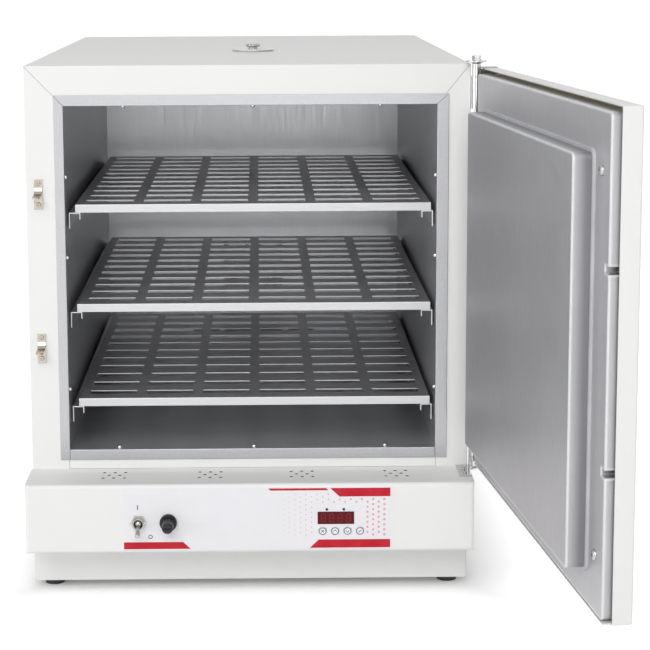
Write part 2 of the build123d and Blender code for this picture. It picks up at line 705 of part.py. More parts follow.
def key(i):
    """One round key with a collar behind the panel."""
    at = (KEY_X + i * KEY_PITCH, KEY_Z)
    collar = PANEL_BACK + LOOSE
    back = collar + KEY_COLLAR_T
    button = rod("Y", at, LABEL_FRONT - KEY_PROUD, back, KEY_R)
    return button + rod("Y", at, collar, back, KEY_COLLAR_R)


def toggle_pivot_y():
    """Where the lever's ball sits in its bushing."""
    return LABEL_FRONT - TOGGLE_OUT + PIVOT_IN


def toggle_body():
    """Switch body behind the panel with its bushing, bored and flared for the lever."""
    y0 = LABEL_FRONT - TOGGLE_OUT
    pivot = toggle_pivot_y()
    at = (TOGGLE_X, ROW_Z)
    wide, deep, tall = TOGGLE_BODY
    body = Pos(TOGGLE_X, PANEL_BACK + deep / 2, ROW_Z) * Box(wide, deep, tall)
    body += rod("Y", at, y0, PANEL_BACK, TOGGLE_R)
    body -= rod("Y", at, pivot - 1, pivot + BALL_ROOM, LEVER_BORE_R)
    return body - rod("Y", at, y0, pivot - 1, TOGGLE_R - TOGGLE_WALL, LEVER_BORE_R)


def toggle_nut():
    """Hexagon nut that clamps the switch to the panel."""
    at = (TOGGLE_X, ROW_Z)
    y0, y1 = LABEL_FRONT - TOGGLE_NUT_T, LABEL_FRONT
    return hexagon_bar("Y", at, y0, y1, TOGGLE_NUT_AF) - rod("Y", at, y0, y1, TOGGLE_R)


def toggle_lever():
    """Bat lever, pointing down as it stands in the photograph."""
    pivot = toggle_pivot_y()
    ball = Pos(TOGGLE_X, pivot, ROW_Z) * Sphere(LEVER_BALL_R)
    shaft = rod("Y", (TOGGLE_X, ROW_Z), pivot - LEVER_LONG, pivot, LEVER_TIP_R, LEVER_ROOT_R)
    shaft = chamfer(shaft.edges().sort_by(Axis.Y)[0], BEND)
    return (ball + shaft).rotate(Axis((0, pivot, ROW_Z), (1, 0, 0)), LEVER_TILT)


def fuse_body():
    """Panel fuse holder with a round collar and a bore for its cap."""
    at = (FUSE_X, ROW_Z)
    front = LABEL_FRONT - FUSE_FLANGE_T
    body = rod("Y", at, front, LABEL_FRONT, FUSE_COLLAR_R)
    body = chamfer(body.edges().sort_by(Axis.Y)[0], BEND)
    body += rod("Y", at, LABEL_FRONT, PANEL_BACK + FUSE_BACK, FUSE_R)
    return body - rod("Y", at, front, LABEL_FRONT + FUSE_STEM_IN + 1, FUSE_STEM_R + RUNNING)


def fuse_cap():
    """Bayonet cap with grip flutes and a driver slot."""
    at = (FUSE_X, ROW_Z)
    seat = LABEL_FRONT - FUSE_FLANGE_T - LOOSE
    end = LABEL_FRONT - FUSE_OUT
    cap = rod("Y", at, end, seat, FUSE_CAP_END_R, FUSE_CAP_R)
    cap = chamfer(cap.edges().sort_by(Axis.Y)[0], BEND)
    long = FUSE_OUT - FUSE_FLANGE_T - 2 * FUSE_FLUTE_IN
    groove = Pos(FUSE_CAP_R, (end + seat) / 2, 0) * Rot(0, 45, 0) * Box(FUSE_FLUTE, long, FUSE_FLUTE)
    for i in range(FUSE_FLUTES):
        cap -= Pos(FUSE_X, 0, ROW_Z) * Rot(0, 360.0 / FUSE_FLUTES * i, 0) * groove
    wide, tall, deep = FUSE_SLOT
    cap -= Pos(FUSE_X, end + deep / 2, ROW_Z) * Box(wide, deep, tall)
    return cap + rod("Y", at, seat, LABEL_FRONT + FUSE_STEM_IN, FUSE_STEM_R)


def vent_port_cutters(turn):
    """Ports through a level disc on the roof vent."""
    cutters = []
    for i in range(VENT_PORTS):
        angle = math.radians(turn + i * 360.0 / VENT_PORTS)
        at = (VENT_X + VENT_PORT_AT * math.cos(angle), VENT_Y + VENT_PORT_AT * math.sin(angle))
        port = extrude(RegularPolygon(VENT_PORT_R, 8), amount=2 * VENT_DISC_T + LOOSE)
        cutters.append(Pos(*at, TOP_Z) * port)
    return cutters


def vent_tube():
    """Tube from the chamber's roof through the casing, closed by a ported plate with a pivot."""
    at = (VENT_X, VENT_Y)
    tube = rod("Z", at, CH_HIGH, TOP_Z, VENT_TUBE_R)
    tube -= rod("Z", at, CH_HIGH, TOP_Z, VENT_TUBE_R - VENT_WALL)
    plate = rod("Z", at, TOP_Z, TOP_Z + VENT_DISC_T, VENT_DISC_R - VENT_WALL) - vent_port_cutters(90)
    return tube + plate + rod("Z", at, TOP_Z, TOP_Z + 2 * VENT_DISC_T + LOOSE, VENT_PIN_R)


def vent_damper():
    """Turning disc whose ports stand between those of the plate under it."""
    low = TOP_Z + VENT_DISC_T + LOOSE
    disc = rod("Z", (VENT_X, VENT_Y), low, low + VENT_DISC_T, VENT_DISC_R)
    disc -= rod("Z", (VENT_X, VENT_Y), low, low + VENT_DISC_T, VENT_PIN_R + RUNNING)
    return disc - vent_port_cutters(30)


def vent_knob():
    """Turned knob on the damper disc."""
    low = TOP_Z + 2 * VENT_DISC_T + LOOSE
    neck = rod("Z", (VENT_X, VENT_Y), low, low + KNOB_NECK_H, KNOB_NECK_R)
    head = rod("Z", (VENT_X, VENT_Y), low + KNOB_NECK_H, low + KNOB_H, KNOB_R)
    return neck + chamfer(head.edges(), KNOB_BEVEL)


def catch(low):
    """Spring catch: a screwed plate with a strip that curves out into a round-ended tongue."""
    x0, x1 = CATCH_X - CATCH_WIDE / 2, CATCH_X + CATCH_WIDE / 2
    plate = block(x0, x1, -CATCH_T, 0, low, low + CATCH_TALL)
    mid = low + TONGUE_UP
    upper = [(-CATCH_T, mid + TONGUE_ROOT[0])] + [(-out, mid + up) for out, up in TONGUE_OVER]
    upper += [(-TONGUE_OUT, mid), (-TONGUE_OUT, mid - TONGUE_T)]
    lower = [(-out, mid + up) for out, up in TONGUE_UNDER] + [(-CATCH_T, mid + TONGUE_ROOT[1])]
    left = CATCH_X - TONGUE_WIDE / 2
    strip = prism([(left, y, z) for y, z in upper + lower], (TONGUE_WIDE, 0, 0))
    half = TONGUE_WIDE / 2
    plan = block(left, left + TONGUE_WIDE, half - TONGUE_OUT, 0, low, low + CATCH_TALL)
    plan += rod("Z", (CATCH_X, half - TONGUE_OUT), low, low + CATCH_TALL, half)
    return plate + (strip & plan)


def hinge_top_fixed():
    """Long lower knuckle of the top hinge, on a leaf that lies on the casing's side."""
    z0, z1 = TOP_BARREL
    knuckle = rod("Z", (HINGE_X, HINGE_Y), z0, z1, BARREL_R)
    leaf = block(HALF, HALF + LEAF_T, HINGE_Y, LEAF_BACK, z0, z1)
    return knuckle + leaf - rod("Z", (HINGE_X, HINGE_Y), z0, z1, PIN_R)


def hinge_top_pin():
    """Pin of the top hinge with its washer and hexagon head."""
    at = (HINGE_X, HINGE_Y)
    top = TOP_KNUCKLE[1] + LOOSE
    brim = top + WASHER_CONE_T
    head = brim + WASHER_T
    pin = rod("Z", at, TOP_BARREL[0] - PIN_TAIL, top, PIN_R)
    pin += rod("Z", at, top, brim, BARREL_R, WASHER_CONE_R)
    pin += rod("Z", at, brim, head, WASHER_R)
    return pin + hexagon_bar("Z", at, head, head + PIN_HEAD_T, PIN_HEAD_AF)


def hinge_top_moving():
    """Upper knuckle, with a leaf inside the door's edge and a tab over the door's top."""
    z0, z1 = TOP_KNUCKLE
    knuckle = rod("Z", (HINGE_X, HINGE_Y), z0, z1, BARREL_R)
    inside = DOOR_RIGHT - DOOR_T
    front = DOOR_FRONT + LEAF_IN
    knuckle += block(inside - LEAF_T, inside, front, HINGE_Y, z0, DOOR_HIGH - DOOR_T)
    knuckle += block(HINGE_X - BARREL_R, inside, front, HINGE_Y, DOOR_HIGH, DOOR_HIGH + LEAF_T)
    return knuckle - rod("Z", (HINGE_X, HINGE_Y), z0, z1, PIN_R + RUNNING)


def hinge_low_fixed():
    """Bracket on the control box's corner, with the short knuckle and the pin of the lower hinge."""
    at = (HINGE_X, HINGE_Y)
    z0, z1 = LOW_BARREL
    tab = rod("Z", at, DECK_Z, z0, TAB_R)
    x1, y1 = HINGE_X - BARREL_R, HINGE_Y + BARREL_R
    tab += block(x1 - TAB_WIDE, x1, y1 - TAB_LONG - BARREL_R, y1, DECK_Z, z0)
    return tab + rod("Z", at, z0, z1, BARREL_R) + rod("Z", at, z1, LOW_KNUCKLE[1], PIN_R)


def hinge_low_moving():
    """Long upper knuckle of the lower hinge, with a leaf inside the door's edge."""
    z0, z1 = LOW_KNUCKLE
    knuckle = rod("Z", (HINGE_X, HINGE_Y), z0, z1, BARREL_R)
    inside = DOOR_RIGHT - DOOR_T
    knuckle += block(inside - LEAF_T, inside, DOOR_FRONT + LEAF_IN, HINGE_Y, z0, z1)
    return knuckle - rod("Z", (HINGE_X, HINGE_Y), z0, z1, PIN_R + RUNNING)


def catch_pockets(wall):
    """Blocks that fill the room the two tongues need in the door, with a wall round it."""
    blocks = []
    for low in CATCH_LOWS.values():
        mid = low + TONGUE_UP
        ends = (LINING_Y - NOTCH_DEEP - wall, LINING_Y, mid - NOTCH_UNDER - wall, mid + NOTCH_OVER + wall)
        blocks.append(block(LINING_LEFT, LINING_LEFT + NOTCH_WIDE + wall, *ends))
    return blocks


def door_shell():
    """White outer pan of the door, with a deeper wall along the bottom."""
    t = DOOR_T
    shell = block(DOOR_LEFT, DOOR_RIGHT, DOOR_FRONT, DOOR_RIM, DOOR_LOW, DOOR_HIGH)
    shell = fillet(shell.edges().filter_by(lambda e: abs(e.center().Y - DOOR_RIM) > 0.01), DOOR_ROUND)
    inside = (DOOR_LEFT + t, DOOR_RIGHT - t, DOOR_FRONT + t, DOOR_RIM, DOOR_LOW + t, DOOR_HIGH - t)
    shell -= block(*inside)
    return shell + block(LINING_LEFT, LINING_RIGHT, DOOR_RIM, LINING_Y - 0.5, DOOR_LOW, DOOR_LOW + t)


def pan(x0, x1, y0, y1, z0, z1, corner, bend, thick):
    """A pressed pan, open towards -Y, with round corners and a softened front edge."""
    solid = round_block(x0, x1, y0, y1, z0, z1, Axis.Y, corner)
    solid = chamfer(solid.edges().filter_by(lambda e: abs(e.center().Y - y1) < 0.01), bend)
    hollow = round_block(
        x0 + thick, x1 - thick, y0, y1 - thick, z0 + thick, z1 - thick, Axis.Y, corner - thick
    )
    return solid - hollow


def door_lining():
    """Grey inner pan, standing proud of the shell's rim."""
    lining = pan(
        LINING_LEFT, LINING_RIGHT, LINING_Y - LINING_WALL, LINING_Y, LINING_LOW, LINING_HIGH,
        LINING_CORNER, LINING_BEND, LINING_T,
    )
    return lining + catch_pockets(LINING_T) - catch_pockets(0)


def door_plug():
    """Raised panel that enters the chamber's mouth."""
    return pan(
        PLUG_LEFT, PLUG_RIGHT, LINING_Y, LINING_Y + PLUG_OUT, PLUG_LOW, PLUG_HIGH,
        PLUG_CORNER, LINING_BEND, LINING_T,
    )


def door_seal():
    """Narrow seal round the foot of the raised panel."""
    w = SEAL_WIDE
    y1 = LINING_Y + SEAL_TALL
    outer = round_block(
        PLUG_LEFT - w, PLUG_RIGHT + w, LINING_Y, y1, PLUG_LOW - w, PLUG_HIGH + w, Axis.Y, PLUG_CORNER + w
    )
    return outer - round_block(
        PLUG_LEFT, PLUG_RIGHT, LINING_Y, y1, PLUG_LOW, PLUG_HIGH, Axis.Y, PLUG_CORNER
    )


def door_wool():
    """Mineral wool inside the door."""
    t = LINING_T
    y0, y1 = DOOR_FRONT + DOOR_T, LINING_Y - t
    wool = block(LINING_LEFT + t, LINING_RIGHT - t, y0, y1, LINING_LOW + t, LINING_HIGH - t)
    corners = wool.edges().filter_by(Axis.Y)
    return fillet(corners, LINING_CORNER) - catch_pockets(LINING_T)


def foot(x, y):
    """Rubber foot."""
    return rod("Z", (x, y), 0, FOOT_H, FOOT_R - 1, FOOT_R)


def cable_gland():
    """Gland in the rear cover, with a clear bore for a supply cable."""
    at = (GLAND_X, GLAND_Z)
    y0, y1 = DEPTH - GLAND_IN, DEPTH + GLAND_OUT
    nut = DEPTH + GLAND_NUT
    gland = rod("Y", at, y0, DEPTH, GLAND_THREAD_R)
    gland += hexagon_bar("Y", at, DEPTH, nut, GLAND_AF)
    gland += rod("Y", at, nut, y1, GLAND_AF / 2 - 1, GLAND_THREAD_R)
    return gland - rod("Y", at, y0, y1, GLAND_BORE_R)


nodes = {}
for side, panel in casing_sides().items():
    nodes["casing_" + side] = panel
nodes["casing_top"] = casing_top()
nodes["deck_panel"] = deck_panel()
nodes["base_front"] = base_front()
nodes["base_floor"] = base_floor()
nodes["rear_cover"] = rear_cover()
for side, sheet in softened_mouth(chamber_sheets()).items():
    nodes["chamber_" + side] = sheet
nodes["chamber_wool"] = chamber_wool()
for level, shelf_top in SHELF_TOPS.items():
    nodes["shelf_" + level] = shelf(shelf_top)
    nodes["rail_" + level + "_left"] = rail(CH_LEFT, 1, shelf_top)
    nodes["rail_" + level + "_right"] = rail(CH_RIGHT, -1, shelf_top)
nodes["fan_duct"] = fan_duct()
nodes["fan_wheel"] = fan_wheel()
nodes["fan_motor"] = fan_motor()
nodes["heater"] = heater()
nodes["control_box"] = control_box()
nodes["label_plate"] = label_plate()
nodes["display_unit"] = display_unit()
nodes["display_window"] = display_window()
for index, key_name in enumerate(KEYS):
    nodes["key_" + key_name] = key(index)
nodes["toggle_body"] = toggle_body()
nodes["toggle_nut"] = toggle_nut()
nodes["toggle_lever"] = toggle_lever()
nodes["fuse_body"] = fuse_body()
nodes["fuse_cap"] = fuse_cap()
nodes["vent_tube"] = vent_tube()
nodes["vent_damper"] = vent_damper()
nodes["vent_knob"] = vent_knob()
for level, catch_low in CATCH_LOWS.items():
    nodes["catch_" + level] = catch(catch_low)
nodes["hinge_top_fixed"] = hinge_top_fixed()
nodes["hinge_top_pin"] = hinge_top_pin()
nodes["hinge_low_fixed"] = hinge_low_fixed()
for name, maker in (
    ("hinge_top_moving", hinge_top_moving),
    ("hinge_low_moving", hinge_low_moving),
    ("door_shell", door_shell),
    ("door_lining", door_lining),
    ("door_plug", door_plug),
    ("door_seal", door_seal),
    ("door_wool", door_wool),
):
    nodes[name] = turned_open(maker())
for end, foot_y in FOOT_YS.items():
    nodes["foot_" + end + "_left"] = foot(-FOOT_X, foot_y)
    nodes["foot_" + end + "_right"] = foot(FOOT_X, foot_y)
nodes["cable_gland"] = cable_gland()

# The frame's origin is under the middle of everything, at the floor
boxes = [solid.bounding_box() for solid in nodes.values()]
middle_x = (min(b.min.X for b in boxes) + max(b.max.X for b in boxes)) / 2
middle_y = (min(b.min.Y for b in boxes) + max(b.max.Y for b in boxes)) / 2
for name, solid in nodes.items():
    export_step((Pos(-middle_x, -middle_y, 0) * solid).solid(), "parts/" + name + ".step")
print(len(nodes), "nodes, origin at", round(middle_x, 3), round(middle_y, 3))
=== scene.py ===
import math

import bmesh
import bpy
from mathutils import Matrix, Vector


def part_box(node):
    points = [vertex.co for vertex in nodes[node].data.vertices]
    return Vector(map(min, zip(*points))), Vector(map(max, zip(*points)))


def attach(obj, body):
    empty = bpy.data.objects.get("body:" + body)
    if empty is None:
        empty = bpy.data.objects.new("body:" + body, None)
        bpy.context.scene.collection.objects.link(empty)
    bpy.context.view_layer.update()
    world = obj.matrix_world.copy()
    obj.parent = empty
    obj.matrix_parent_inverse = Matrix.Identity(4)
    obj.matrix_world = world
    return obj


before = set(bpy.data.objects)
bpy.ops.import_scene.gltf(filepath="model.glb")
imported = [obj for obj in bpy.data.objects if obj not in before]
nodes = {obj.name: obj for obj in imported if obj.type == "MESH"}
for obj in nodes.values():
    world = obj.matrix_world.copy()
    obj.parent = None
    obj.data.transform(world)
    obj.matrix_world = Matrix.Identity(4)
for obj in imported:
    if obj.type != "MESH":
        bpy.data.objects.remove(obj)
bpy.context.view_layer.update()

# Places are in millimetres from the middle of the casing's front at floor level, as the maker measures them
MM = 0.001
CASING_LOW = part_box("casing_left")[0]
HALF_CASING = 0.240
START = Vector((CASING_LOW.x + HALF_CASING, CASING_LOW.y, 0.0))
DECK = 137.5
HINGE = (245.0, -6.5)
DOOR_TURN = math.radians(96.0)
LABEL_Y = -61.1
FACING_FRONT = Matrix.Rotation(math.radians(90), 4, "X")


def place(x, y, z):
    """A point of the oven, in the frame's metres."""
    return START + Vector((x, y, z)) * MM


def place_on_door(x, y, z):
    """A point of the shut door, where it stands with the door open."""
    dx, dy = x - HINGE[0], y - HINGE[1]
    c, s = math.cos(DOOR_TURN), math.sin(DOOR_TURN)
    return place(HINGE[0] + c * dx - s * dy, HINGE[1] + s * dx + c * dy, z)


def door_direction(x, y):
    """A level direction of the shut door, turned with the open door."""
    c, s = math.cos(DOOR_TURN), math.sin(DOOR_TURN)
    return Vector((c * x - s * y, s * x + c * y, 0.0))


# Materials: steps that the finishes are built from

# Most of a noise's values lie between these two
MIDDLE = (0.3, 0.7)


def own_place(tree):
    """The surface's place on its own piece."""
    return tree.nodes.new("ShaderNodeTexCoord").outputs["Object"]


def new_material(name):
    material = bpy.data.materials.new(name)
    material.use_nodes = True
    tree = material.node_tree
    return material, tree, tree.nodes["Principled BSDF"], own_place(tree)


def reopened(material):
    """A finished material's tree, its colour socket and the colour that feeds it."""
    tree = material.node_tree
    socket = tree.nodes["Principled BSDF"].inputs["Base Color"]
    return tree, socket, socket.links[0].from_socket


def darker(colour, share):
    return tuple(c * share for c in colour)


def split(tree, source):
    parts = tree.nodes.new("ShaderNodeSeparateXYZ")
    tree.links.new(source, parts.inputs[0])
    return parts.outputs


def stretched(tree, source, scale):
    mapping = tree.nodes.new("ShaderNodeMapping")
    mapping.inputs["Scale"].default_value = scale
    tree.links.new(source, mapping.inputs["Vector"])
    return mapping.outputs["Vector"]


def noise(tree, source, scale, detail=3.0, rough=0.55):
    texture = tree.nodes.new("ShaderNodeTexNoise")
    texture.inputs["Scale"].default_value = scale
    texture.inputs["Detail"].default_value = detail
    texture.inputs["Roughness"].default_value = rough
    tree.links.new(source, texture.inputs["Vector"])
    return texture.outputs["Fac"]


def spread(tree, source, low, high, out_low=0.0, out_high=1.0):
    ranged = tree.nodes.new("ShaderNodeMapRange")
    for socket, value in zip(("From Min", "From Max", "To Min", "To Max"), (low, high, out_low, out_high)):
        ranged.inputs[socket].default_value = value
    tree.links.new(source, ranged.inputs["Value"])
    return ranged.outputs["Result"]


def worked(tree, operation, first, second):
    """Two values worked into one."""
    step = tree.nodes.new("ShaderNodeMath")
    step.operation = operation
    tree.links.new(first, step.inputs[0])
    tree.links.new(second, step.inputs[1])
    return step.outputs[0]


def vector_worked(tree, operation, source, other=None):
    """A place or direction worked with another one, linked or fixed."""
    step = tree.nodes.new("ShaderNodeVectorMath")
    step.operation = operation
    tree.links.new(source, step.inputs[0])
    if isinstance(other, bpy.types.NodeSocket):
        tree.links.new(other, step.inputs[1])
    elif other is not None:
        step.inputs[1].default_value = other
    return step.outputs


def blend_colours(tree, factor, first, second):
    mix = tree.nodes.new("ShaderNodeMix")
    mix.data_type = "RGBA"
    for socket, colour in ((6, first), (7, second)):
        if isinstance(colour, bpy.types.NodeSocket):
            tree.links.new(colour, mix.inputs[socket])
        else:
            mix.inputs[socket].default_value = (*colour, 1.0)
    tree.links.new(factor, mix.inputs[0])
    return mix.outputs[2]


def raise_bumps(tree, shader, height, strength, distance):
    bump = tree.nodes.new("ShaderNodeBump")
    bump.inputs["Strength"].default_value = strength
    bump.inputs["Distance"].default_value = distance
    tree.links.new(height, bump.inputs["Height"])
    tree.links.new(bump.outputs["Normal"], shader.inputs["Normal"])
    return bump


def rounded(tree, radius, samples):
    bevel = tree.nodes.new("ShaderNodeBevel")
    bevel.samples = samples
    bevel.inputs["Radius"].default_value = radius
    return bevel.outputs["Normal"]


def soften_edges(tree, bump, radius):
    tree.links.new(rounded(tree, radius, 4), bump.inputs["Normal"])


def bends(tree, radius, low, high):
    """1 on a sheet's bends and 0 on its flats."""
    flat = tree.nodes.new("ShaderNodeNewGeometry").outputs["Normal"]
    agree = vector_worked(tree, "DOT_PRODUCT", rounded(tree, radius, 8), flat)
    return spread(tree, agree["Value"], high, low)


# Materials: finishes

def powder_coat(name, colour, cloud, rough=0.42, edge=0.0009):
    """Baked paint with the fine pebbled skin of a textured powder coat."""
    material, tree, shader, where = new_material(name)
    clouds = spread(tree, noise(tree, where, 5.0), *MIDDLE)
    pebbles = noise(tree, where, 1150.0, 2.0, 0.5)
    specks = spread(tree, noise(tree, where, 260.0, 2.0), 0.35, 0.65)
    base = blend_colours(tree, clouds, colour, cloud)
    tint = spread(tree, pebbles, *MIDDLE, 0.0, 0.35)
    tree.links.new(blend_colours(tree, tint, base, darker(colour, 0.95)), shader.inputs["Base Color"])
    tree.links.new(spread(tree, specks, 0, 1, rough - 0.05, rough + 0.07), shader.inputs["Roughness"])
    soften_edges(tree, raise_bumps(tree, shader, pebbles, 0.25, 0.00018), edge)
    return material


def box_paint(name, low, high):
    """The casing's coat on the outside of a sheet box, and a near-black painted shade on its inside, behind
    its vent holes.
    """
    material = powder_coat(name, PAINT, PAINT_CLOUD)
    tree, socket, paint = reopened(material)
    parts = split(tree, own_place(tree))
    past_round = (0.0045, 0.005)
    steps = [
        ("X", low.x, 1, past_round), ("X", high.x, -1, past_round),
        ("Y", low.y, 1, past_round), ("Y", high.y, -1, past_round),
        ("Z", low.z, 1, (0.0006, 0.001)), ("Z", high.z, -1, (0.0001, 0.0003)),
    ]
    depth = None
    for axis, face, sign, (outer, inner) in steps:
        inside = spread(tree, parts[axis], face + sign * outer, face + sign * inner)
        depth = inside if depth is None else worked(tree, "MULTIPLY", depth, inside)
    # Painted shade: the inside of the box fades to near black just inside the sheet's faces.
    tree.links.new(blend_colours(tree, depth, paint, BOX_INSIDE_PAINTED_SHADE), socket)
    return material


def rolled_sheet(name, light, dark, grain, rough=0.38, metal=1.0, edge=0.0009, cloudy=7.0):
    """Rolled or brushed sheet metal; grain stretches its fine lines along one axis."""
    material, tree, shader, where = new_material(name)
    lines = noise(tree, stretched(tree, where, grain), 1.0, 4.0, 0.6)
    clouds = noise(tree, where, cloudy, 3.0)
    base = blend_colours(tree, spread(tree, clouds, *MIDDLE), light, dark)
    fine = spread(tree, lines, *MIDDLE, 0.0, 0.5)
    tree.links.new(blend_colours(tree, fine, base, darker(light, 0.88)), shader.inputs["Base Color"])
    shader.inputs["Metallic"].default_value = metal
    tree.links.new(spread(tree, lines, 0.25, 0.75, rough - 0.07, rough + 0.08), shader.inputs["Roughness"])
    soften_edges(tree, raise_bumps(tree, shader, lines, 0.12, 0.0001), edge)
    return material


def mouth_sheet(name, inside, grain, metal=0.8):
    """Chamber sheet, with one tone inside and another on the flange round the mouth."""
    material = rolled_sheet(name, inside, darker(inside, 0.92), grain, metal=metal)
    tree, socket, inner = reopened(material)
    where = own_place(tree)
    on_flange = spread(tree, split(tree, where)["Y"], MOUTH + 0.001, MOUTH + 0.0025, 1.0, 0.0)
    across = tuple(1300.0 - g for g in grain)
    brushed = spread(tree, noise(tree, stretched(tree, where, across), 1.0, 3.0, 0.6), *MIDDLE)
    flange = blend_colours(tree, brushed, FLANGE, darker(FLANGE, 0.86))
    tree.links.new(blend_colours(tree, on_flange, inner, flange), socket)
    return material


def door_pan(name, face):
    """Pressed pan of the door: walls darker than its face as painted shade, and a painted highlight where
    the sheet is bent.
    """
    material = rolled_sheet(
        name, PAN_LIGHT, PAN_DARK, PAN_GRAIN, rough=0.44, metal=0.6, edge=PAN_ROUND, cloudy=9.0
    )
    tree, socket, pressed = reopened(material)
    inward = door_direction(0, 1)
    reach = vector_worked(tree, "DOT_PRODUCT", own_place(tree), inward)["Value"]
    at = place_on_door(0, face, 0).dot(inward)
    # Painted shade: the pan's walls take a darker tone than its face.
    wall = spread(tree, reach, at - 0.012, at - 0.002, 1.0, 0.0)
    pressed = blend_colours(tree, wall, pressed, PAN_WALL_PAINTED_SHADE)
    # Painted highlight: a near-white tone on the pan's bends.
    pressed = blend_colours(tree, bends(tree, PAN_ROUND, 0.90, 0.985), pressed, PAN_BEND_PAINTED_HIGHLIGHT)
    tree.links.new(pressed, socket)
    return material


def shelf_steel(name, top):
    """Shelf sheet, darker on its top as painted shade, and lighter on its lips and in its punched slots as
    painted light.
    """
    material, tree, shader, where = new_material(name)
    lines = noise(tree, stretched(tree, where, LEVEL), 1.0, 4.0, 0.6)
    # Painted light and shade: below its top face, the sheet's lips and slot walls take a lighter tone than
    # the top.
    below = spread(tree, split(tree, where)["Z"], top - 0.0004, top - 0.0001, 1.0, 0.0)
    dull = blend_colours(tree, spread(tree, lines, *MIDDLE), SHELF_TOP_PAINTED_SHADE, darker(SHELF_TOP_PAINTED_SHADE, 0.85))
    tree.links.new(blend_colours(tree, below, dull, SHELF_LIP_PAINTED_LIGHT), shader.inputs["Base Color"])
    shader.inputs["Metallic"].default_value = 0.85
    tree.links.new(spread(tree, lines, *MIDDLE, 0.36, 0.5), shader.inputs["Roughness"])
    soften_edges(tree, raise_bumps(tree, shader, lines, 0.1, 0.0001), 0.0007)
    return material


def plated(name, colour, rough, edge=0.0004):
    """Bright plating with faint smears in its gloss."""
    material, tree, shader, where = new_material(name)
    smears = noise(tree, where, 160.0, 4.0, 0.65)
    tone = blend_colours(tree, spread(tree, smears, 0.35, 0.7), colour, darker(colour, 0.86))
    tree.links.new(tone, shader.inputs["Base Color"])
    shader.inputs["Metallic"].default_value = 1.0
    tree.links.new(spread(tree, smears, *MIDDLE, rough * 0.7, rough * 1.5), shader.inputs["Roughness"])
    soften_edges(tree, raise_bumps(tree, shader, smears, 0.06, 0.00008), edge)
    return material


def moulded(name, colour, rough, grain=700.0, depth=0.15, edge=0.0003, gloss=0.5):
    """Moulded plastic or rubber with a spark-eroded grain."""
    material, tree, shader, where = new_material(name)
    shader.inputs["Specular IOR Level"].default_value = gloss
    pits = noise(tree, where, grain, 3.0, 0.6)
    clouds = spread(tree, noise(tree, where, 45.0), *MIDDLE)
    pale = tuple(min(1.0, c * 1.12 + 0.004) for c in colour)
    tree.links.new(blend_colours(tree, clouds, colour, pale), shader.inputs["Base Color"])
    tree.links.new(spread(tree, pits, *MIDDLE, rough - 0.06, rough + 0.08), shader.inputs["Roughness"])
    soften_edges(tree, raise_bumps(tree, shader, pits, depth, 0.0001), edge)
    return material


def ink(name, colour, rough=0.35, uneven=0.1, gloss=0.25):
    """Screen-printed ink with a slightly uneven lay."""
    material, tree, shader, where = new_material(name)
    shader.inputs["Specular IOR Level"].default_value = gloss
    mesh_marks = noise(tree, where, 900.0, 2.0)
    thin = tuple(min(1.0, c * (1 + uneven) + uneven * 0.1) for c in colour)
    lay = spread(tree, noise(tree, where, 60.0), 0.35, 0.65)
    tree.links.new(blend_colours(tree, lay, colour, thin), shader.inputs["Base Color"])
    sheen = spread(tree, mesh_marks, *MIDDLE, rough - 0.05, rough + 0.06)
    tree.links.new(sheen, shader.inputs["Roughness"])
    raise_bumps(tree, shader, mesh_marks, 0.05, 0.00005)
    return material


def mineral_wool(name):
    """Tangled fibres in soft clumps."""
    material, tree, shader, where = new_material(name)
    fibres = noise(tree, stretched(tree, where, (420.0, 420.0, 60.0)), 1.0, 5.0, 0.7)
    clumps = spread(tree, noise(tree, where, 30.0), *MIDDLE)
    base = blend_colours(tree, clumps, (0.55, 0.47, 0.26), (0.68, 0.61, 0.40))
    tone = blend_colours(tree, spread(tree, fibres, *MIDDLE), base, (0.74, 0.68, 0.5))
    tree.links.new(tone, shader.inputs["Base Color"])
    shader.inputs["Roughness"].default_value = 0.95
    raise_bumps(tree, shader, fibres, 0.8, 0.001)
    return material


PAINT = (0.885, 0.885, 0.875)
PAINT_CLOUD = (0.87, 0.872, 0.862)
# A near-black painted shade for the inside of the control box.
BOX_INSIDE_PAINTED_SHADE = (0.035, 0.035, 0.036)
# The shelf's top tone is painted shade and its lip tone painted light.
SHELF_TOP_PAINTED_SHADE = (0.47, 0.47, 0.48)
SHELF_LIP_PAINTED_LIGHT = (0.53, 0.53, 0.54)
FLANGE = (0.48, 0.48, 0.495)
PAN_LIGHT = (0.52, 0.52, 0.535)
PAN_DARK = (0.48, 0.48, 0.495)
# The pan's wall tone is painted shade and its bend tone a painted highlight.
PAN_WALL_PAINTED_SHADE = (0.24, 0.24, 0.25)
PAN_BEND_PAINTED_HIGHLIGHT = (0.93, 0.93, 0.94)
PAN_ROUND = 0.003
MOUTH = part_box("chamber_left")[0].y
LINING_FACE, PLUG_FACE = -6.0, 13.0

# How far each axis is squeezed, so that a sheet's fine lines run upright, level or nowhere
UPRIGHT = (900.0, 900.0, 30.0)
LEVEL = (30.0, 900.0, 900.0)
ALONG_RAIL = (700.0, 40.0, 700.0)
PAN_GRAIN = (500.0, 500.0, 60.0)
EVEN = (200.0, 200.0, 200.0)
CAST = (150.0, 150.0, 150.0)

white_paint = powder_coat("white_textured_paint", PAINT, PAINT_CLOUD)
